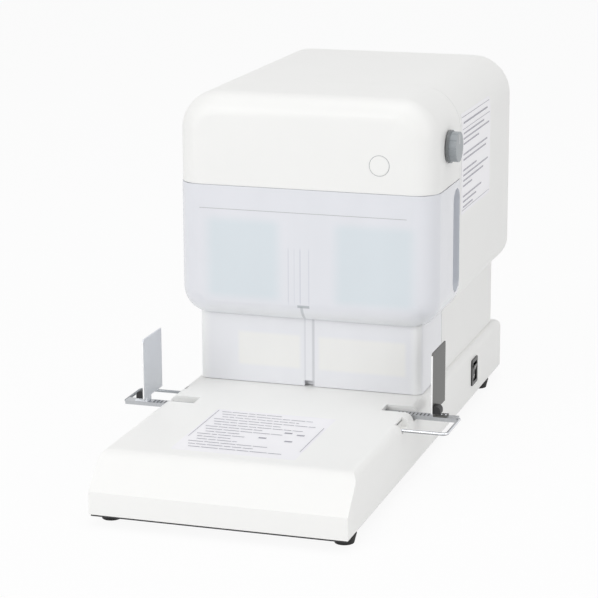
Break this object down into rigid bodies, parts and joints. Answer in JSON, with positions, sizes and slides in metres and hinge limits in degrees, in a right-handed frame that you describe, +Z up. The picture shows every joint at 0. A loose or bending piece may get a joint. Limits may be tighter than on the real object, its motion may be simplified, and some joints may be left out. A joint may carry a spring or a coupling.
{
  "type": "electric hole punch",
  "caption": "Electric desk paper drill: a low table with sliding side guides, and a drill head on a column with a clear chip bin and guard.",
  "frame": {"origin": "on the desk, under the middle of the base; X is the middle of the width and Y the middle of the depth", "axes": "+Z up from the desk, +Y towards the back of the machine, +X to the right seen from the front"},
  "size_m": [0.3564, 0.638, 0.383],
  "materials": {
    "housing_white": "fine texture, satin",
    "cover_white": "smooth satin",
    "bin_clear": "clear, faintly blue",
    "guard_clear": "clear, frosted",
    "dark_steel": "satin black",
    "frame_steel": "zinc plated",
    "bright_steel": "ground and bright",
    "guide_steel": "satin",
    "cast_iron": "machined grey",
    "carriage_alu": "cast, machined faces",
    "bronze": "machined",
    "motor_grey": "satin",
    "black_plastic": "fine texture",
    "black_gloss": "gloss",
    "knob_grey": "satin",
    "rubber": "matt",
    "disc_nylon": "waxy",
    "gear_nylon": "waxy",
    "board_green": "lacquered board"
  },
  "bodies": {
    "machine": {"base_housing": "housing_white", "base_plate": "dark_steel", "feet": "rubber", "power_inlet": "black_plastic", "switch_frame": "black_gloss", "power_supply": "motor_grey", "side_plate_left": "frame_steel", "side_plate_right": "frame_steel", "top_plate": "frame_steel", "guide_posts": "bright_steel", "die_block": "cast_iron", "cutting_disc_left": "disc_nylon", "cutting_disc_right": "disc_nylon", "paper_fence": "guide_steel", "column_cover": "cover_white", "rear_housing": "cover_white", "front_cover": "cover_white", "control_board": "board_green", "guard_rails": "frame_steel", "bin_rails": "frame_steel", "start_switch": "black_plastic", "depth_control": "black_plastic", "feed_motor": "motor_grey", "guide_tray": "frame_steel"},
    "rocker": {"rocker": "black_gloss"},
    "start_button": {"start_button": "cover_white"},
    "depth_knob": {"depth_knob": "knob_grey"},
    "chip_bin": {"chip_bin": "bin_clear"},
    "guard": {"lower_guard": "guard_clear"},
    "feed_screw": {"feed_screw": "bright_steel"},
    "carriage": {"carriage": "carriage_alu", "feed_nut": "bronze", "spindle_bearings": "bright_steel", "motor_bracket": "frame_steel", "drive_motor": "motor_grey", "drive_belt": "rubber", "chip_tube_left": "guide_steel", "chip_tube_right": "guide_steel"},
    "drive_pulley": {"drive_pulley": "black_plastic"},
    "spindle_left": {"spindle_left": "bright_steel", "hollow_bit_left": "bright_steel"},
    "spindle_right": {"spindle_right": "bright_steel", "hollow_bit_right": "bright_steel"},
    "clamp": {"clamp_plate": "guide_steel", "clamp_rods": "bright_steel", "clamp_spring_left": "frame_steel", "clamp_spring_right": "frame_steel"},
    "guide_left": {"rack_arm_left": "guide_steel", "guide_rod_left": "bright_steel", "guide_plate_left": "guide_steel", "guide_grip_left": "black_plastic"},
    "guide_right": {"rack_arm_right": "guide_steel", "guide_rod_right": "bright_steel", "guide_plate_right": "guide_steel", "guide_grip_right": "black_plastic"},
    "guide_pinion": {"guide_pinion": "gear_nylon"}
  },
  "joints": [
    {"name": "carriage_feed", "type": "slide", "parent": "machine", "child": "carriage", "axis": [0, 0, -1], "range_m": [0, 0.0657]},
    {"name": "feed_screw_turn", "type": "hinge", "parent": "machine", "child": "feed_screw", "pos_m": [0, 0.112, 0.2], "axis": [0, 0, 1], "range_deg": [0, 4731]},
    {"name": "clamp_press", "type": "slide", "parent": "carriage", "child": "clamp", "axis": [0, 0, 1], "range_m": [0, 0.05], "stiffness_N_per_m": 1200, "springref_m": -0.01, "deforming": ["clamp_spring_left", "clamp_spring_right"]},
    {"name": "spindle_left_spin", "type": "hinge", "parent": "carriage", "child": "spindle_left", "pos_m": [-0.04, 0.03, 0.22], "axis": [0, 0, 1], "continuous": true},
    {"name": "spindle_right_spin", "type": "hinge", "parent": "carriage", "child": "spindle_right", "pos_m": [0.04, 0.03, 0.22], "axis": [0, 0, 1], "continuous": true},
    {"name": "drive_pulley_spin", "type": "hinge", "parent": "carriage", "child": "drive_pulley", "pos_m": [0, 0.062, 0.245], "axis": [0, 0, 1], "continuous": true},
    {"name": "guard_lift", "type": "slide", "parent": "machine", "child": "guard", "axis": [0, 0, 1], "range_m": [0, 0.052]},
    {"name": "bin_pull", "type": "slide", "parent": "machine", "child": "chip_bin", "axis": [0, -1, 0], "range_m": [0, 0.12]},
    {"name": "guide_left_slide", "type": "slide", "parent": "machine", "child": "guide_left", "axis": [1, 0, 0], "range_m": [0, 0.0435]},
    {"name": "guide_right_slide", "type": "slide", "parent": "machine", "child": "guide_right", "axis": [-1, 0, 0], "range_m": [0, 0.0435]},
    {"name": "guide_pinion_turn", "type": "hinge", "parent": "machine", "child": "guide_pinion", "pos_m": [0, -0.088, 0.062], "axis": [0, 0, 1], "range_deg": [0, 249.5]},
    {"name": "start_press", "type": "slide", "parent": "machine", "child": "start_button", "axis": [0, 1, 0], "range_m": [0, 0.003], "stiffness_N_per_m": 400, "springref_m": -0.001},
    {"name": "depth_turn", "type": "hinge", "parent": "machine", "child": "depth_knob", "pos_m": [0.142, 0.014, 0.3292], "axis": [1, 0, 0], "range_deg": [0, 270]},
    {"name": "power_rock", "type": "hinge", "parent": "machine", "child": "rocker", "pos_m": [0.123, 0.184, 0.0405], "axis": [0, -1, 0], "range_deg": [0, 16]}
  ],
  "couplings": [
    {"joint": "feed_screw_turn", "follows": "carriage_feed", "rad_per_m": 1256.6},
    {"joint": "spindle_right_spin", "follows": "spindle_left_spin", "ratio": 1},
    {"joint": "drive_pulley_spin", "follows": "spindle_left_spin", "ratio": 1.5556},
    {"joint": "guide_right_slide", "follows": "guide_left_slide", "ratio": 1},
    {"joint": "guide_pinion_turn", "follows": "guide_left_slide", "rad_per_m": 100}
  ]
}
